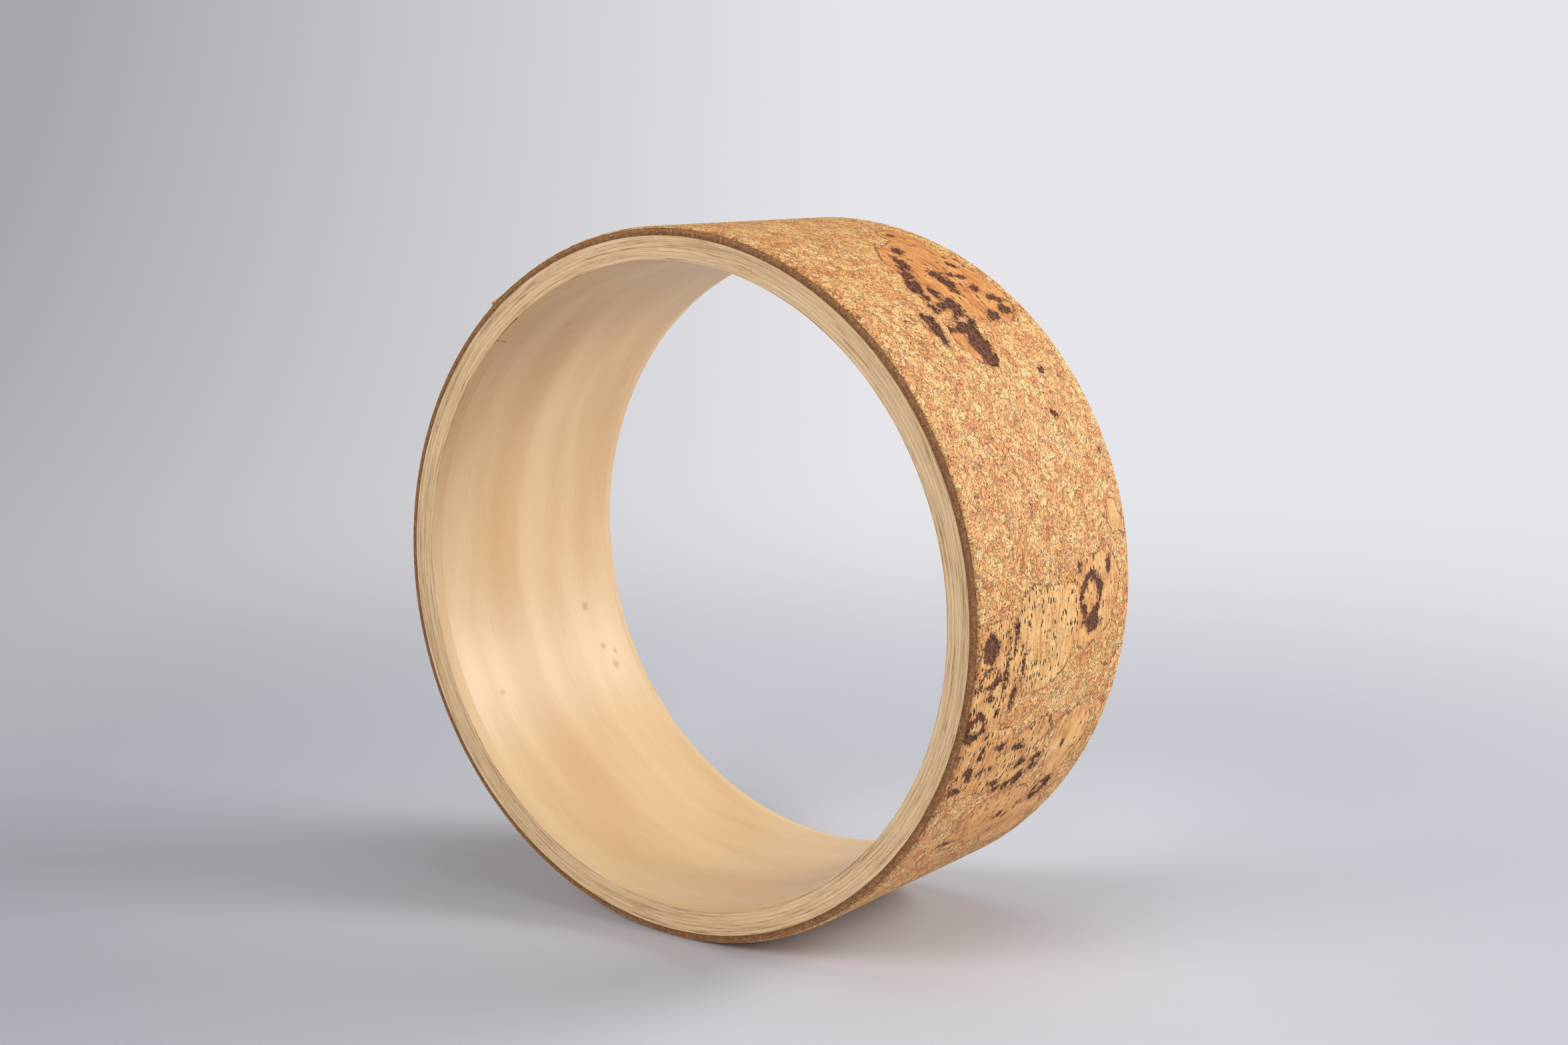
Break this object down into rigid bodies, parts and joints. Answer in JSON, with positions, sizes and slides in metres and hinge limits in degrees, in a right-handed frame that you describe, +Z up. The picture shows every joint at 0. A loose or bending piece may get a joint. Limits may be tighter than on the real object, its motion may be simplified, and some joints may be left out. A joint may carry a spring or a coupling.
{
  "type": "yoga wheel",
  "caption": "Open balance wheel: a bent birch plywood hoop with a wrapped cork tread and bark inlays, rolled under the back or feet in yoga and balance exercises.",
  "frame": {"origin": "the wheel's centre: on its axle line, midway between its two flat sides", "axes": "+Y along the axle line, away from the side shown to the viewer; +Z up; the wheel stands on its tread at Z = -0.160 m and its -Y side is the front"},
  "size_m": [0.32, 0.13, 0.32],
  "materials": {
    "birch_face": "satin lacquered rotary-cut birch, grain round the wheel",
    "birch_edge": "sanded and sealed plywood edge",
    "cork_backing": "fine brown agglomerated cork, matt",
    "cork_facing": "decorative agglomerated cork of curled shavings, satin",
    "cork_bark": "natural cork bark with dark pores, satin"
  },
  "bodies": {
    "root": {"birch_ply_1": "birch_face", "birch_ply_2": "birch_edge", "birch_ply_3": "birch_edge", "birch_ply_4": "birch_edge", "birch_ply_5": "birch_edge", "birch_ply_6": "birch_edge", "birch_ply_7": "birch_edge", "cork_backing": "cork_backing", "cork_facing": "cork_facing", "bark_inlays": "cork_bark"}
  },
  "joints": []
}
